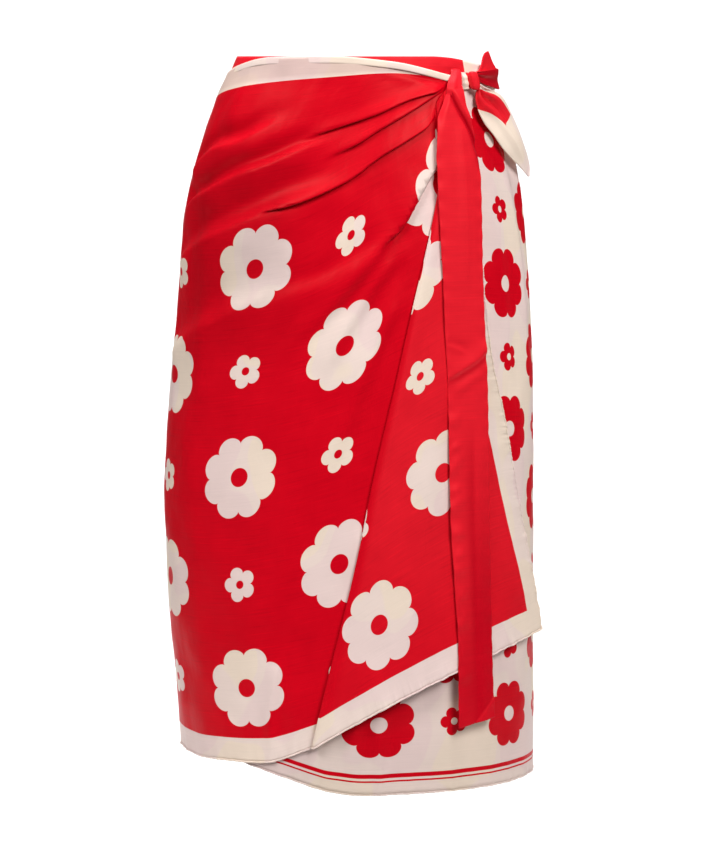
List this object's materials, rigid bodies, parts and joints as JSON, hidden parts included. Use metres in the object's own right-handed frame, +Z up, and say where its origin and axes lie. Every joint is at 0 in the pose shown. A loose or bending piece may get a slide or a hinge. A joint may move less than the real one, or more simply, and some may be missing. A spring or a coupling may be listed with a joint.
{
  "type": "wrap skirt",
  "caption": "Midi wrap skirt in thin printed cloth, filled out as worn, pleated over the front and tied at the right side.",
  "frame": {"origin": "middle of the waist opening, at the top edge of the waistband, where the wearer's waist holds the skirt", "axes": "+Z up the body, out of the waist; -Y to the front; +X to the side with the tie"},
  "size_m": [0.3871, 0.2547, 0.7451],
  "materials": {
    "print_red": "satin",
    "tie_red": "satin",
    "ivory": "satin"
  },
  "bodies": {
    "root": {"waistband": "print_red", "under_front": "print_red", "back": "print_red", "over_front": "print_red", "tie_long": "tie_red", "tie_knot": "tie_red", "belt_link": "ivory", "bow_knot": "tie_red", "bow_loop": "tie_red", "bow_tail": "ivory"}
  },
  "joints": []
}
